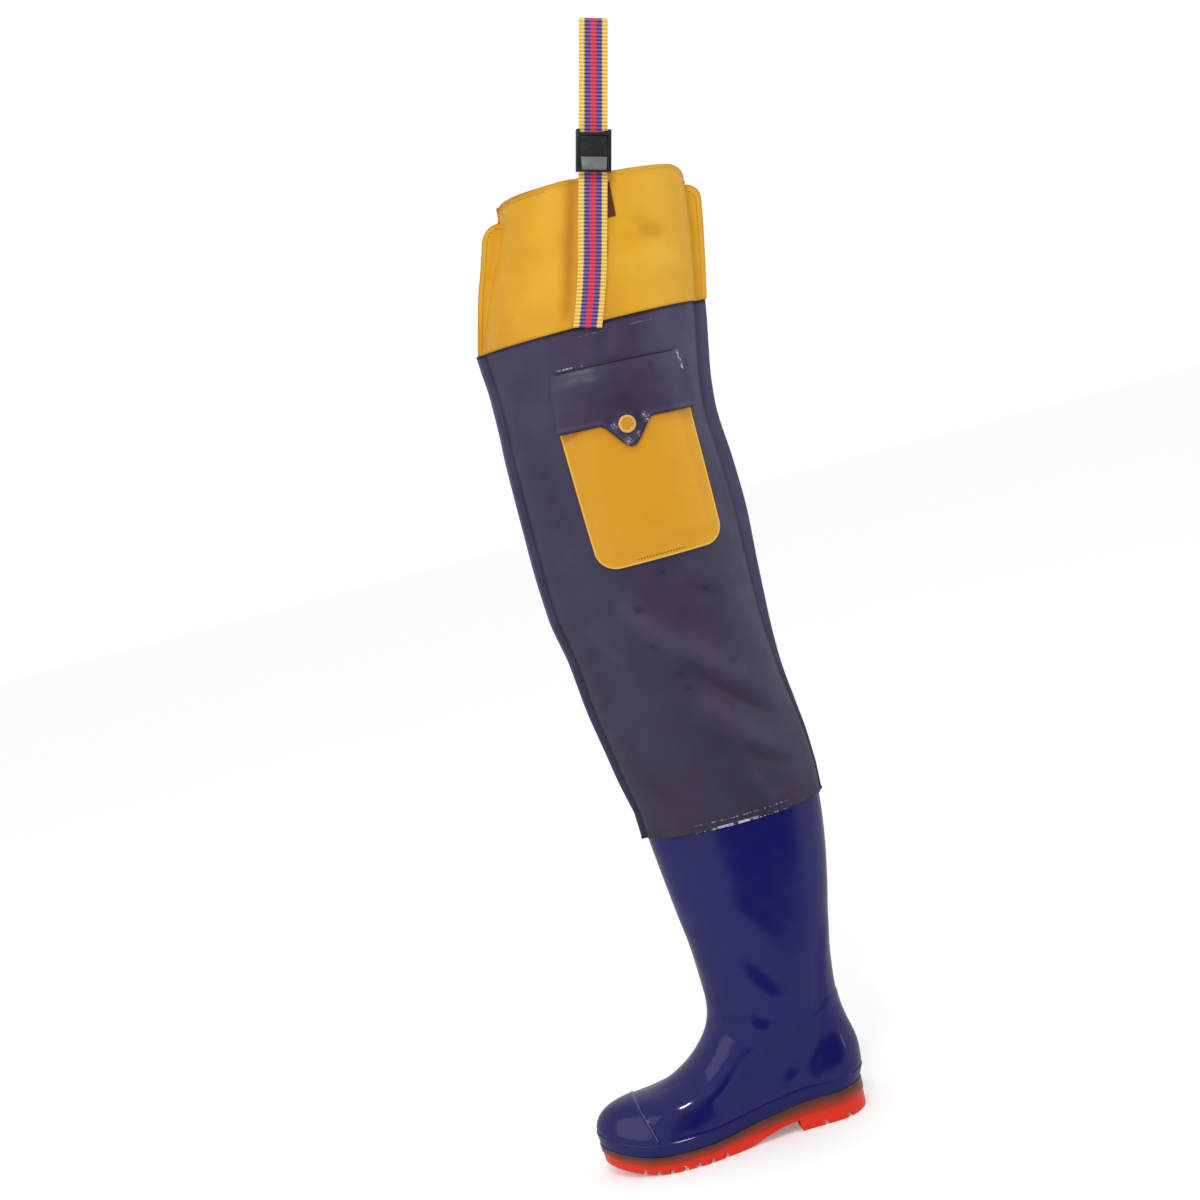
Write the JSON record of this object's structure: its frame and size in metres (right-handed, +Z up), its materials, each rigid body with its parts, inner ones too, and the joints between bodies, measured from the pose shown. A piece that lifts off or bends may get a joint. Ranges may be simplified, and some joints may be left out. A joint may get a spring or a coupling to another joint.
{
  "type": "hip wader",
  "caption": "Left hip wader: moulded rubber boot with cleated sole, welded fabric leg, contrast cuff, flapped pocket and belt strap with buckle.",
  "frame": {"origin": "on the ground under the middle of the heel's flat bottom", "axes": "+Z up the leg, -X towards the toe, -Y towards the outer side of this left leg"},
  "size_m": [0.3428, 0.1907, 1.1265],
  "materials": {
    "sole_pvc": "gloss",
    "boot_pvc": "high gloss",
    "insole_foam": "matte",
    "leg_fabric": "satin coated",
    "cuff_fabric": "satin coated",
    "pocket_fabric": "satin coated",
    "flap_fabric": "satin coated",
    "button_plastic": "satin",
    "webbing": "woven stripes",
    "buckle_black": "satin",
    "lever_grey": "satin"
  },
  "bodies": {
    "root": {"outsole": "sole_pvc", "boot": "boot_pvc", "insole": "insole_foam", "leg": "leg_fabric", "cuff": "cuff_fabric", "pocket": "pocket_fabric", "pocket_flap": "flap_fabric", "snap_button": "button_plastic", "strap_lower": "webbing", "strap_upper": "webbing", "buckle_frame": "buckle_black", "buckle_lever": "lever_grey"}
  },
  "joints": []
}
